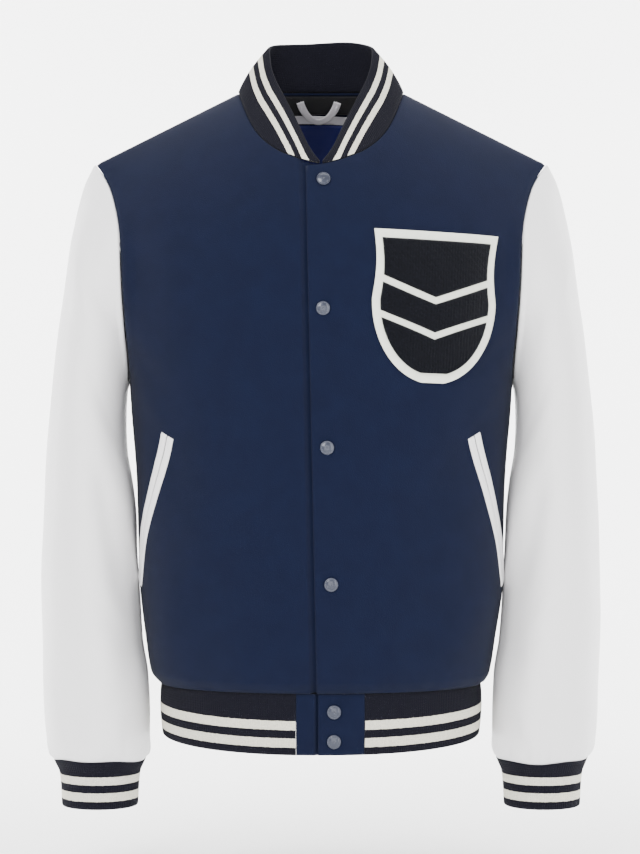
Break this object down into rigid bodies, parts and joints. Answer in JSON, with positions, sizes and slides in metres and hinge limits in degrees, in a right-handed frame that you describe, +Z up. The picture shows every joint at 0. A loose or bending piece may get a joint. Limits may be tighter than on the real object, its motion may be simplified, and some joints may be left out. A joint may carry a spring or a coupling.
{
  "type": "varsity jacket",
  "caption": "Navy wool varsity jacket with ivory leather sleeves, striped rib collar, cuffs and hem, snap front and a plain shield patch, filled out and empty.",
  "frame": {"origin": "middle point between the high neck points of the two shoulder seams, where a wearer's neck and shoulders hold the jacket", "axes": "+Z up, -Y is the way the front faces, +X is the wearer's left"},
  "size_m": [0.5758, 0.2705, 0.796],
  "materials": {
    "wool_melton": "navy milled wool melton, matt",
    "ivory_leather": "ivory white coated sheet with a fine grain, satin",
    "rib_knit": "fine one by one rib, near black navy with two cream stripes, matt",
    "ivory_felt": "pressed wool felt, matt",
    "chenille": "looped chenille pile, matt",
    "snap_metal": "blue grey lacquer on brass, satin",
    "black_tape": "woven tape, matt",
    "pale_tape": "woven tape, matt",
    "blue_label": "plain woven label, matt"
  },
  "bodies": {
    "root": {"front_left": "wool_melton", "front_right": "wool_melton", "back": "wool_melton", "sleeve_left": "ivory_leather", "sleeve_right": "ivory_leather", "cuff_left": "rib_knit", "cuff_right": "rib_knit", "collar": "rib_knit", "hem_rib": "rib_knit", "hem_block_left": "wool_melton", "hem_block_right": "wool_melton", "welt_inner_left": "ivory_leather", "welt_outer_left": "ivory_leather", "welt_inner_right": "ivory_leather", "welt_outer_right": "ivory_leather", "patch_felt": "ivory_felt", "patch_chenille_top": "chenille", "patch_chenille_middle": "chenille", "patch_chenille_bottom": "chenille", "snap_1": "snap_metal", "snap_2": "snap_metal", "snap_3": "snap_metal", "snap_4": "snap_metal", "snap_5": "snap_metal", "snap_6": "snap_metal", "neck_tape": "black_tape", "neck_piping": "pale_tape", "label": "blue_label", "hanger_loop": "pale_tape"}
  },
  "joints": []
}
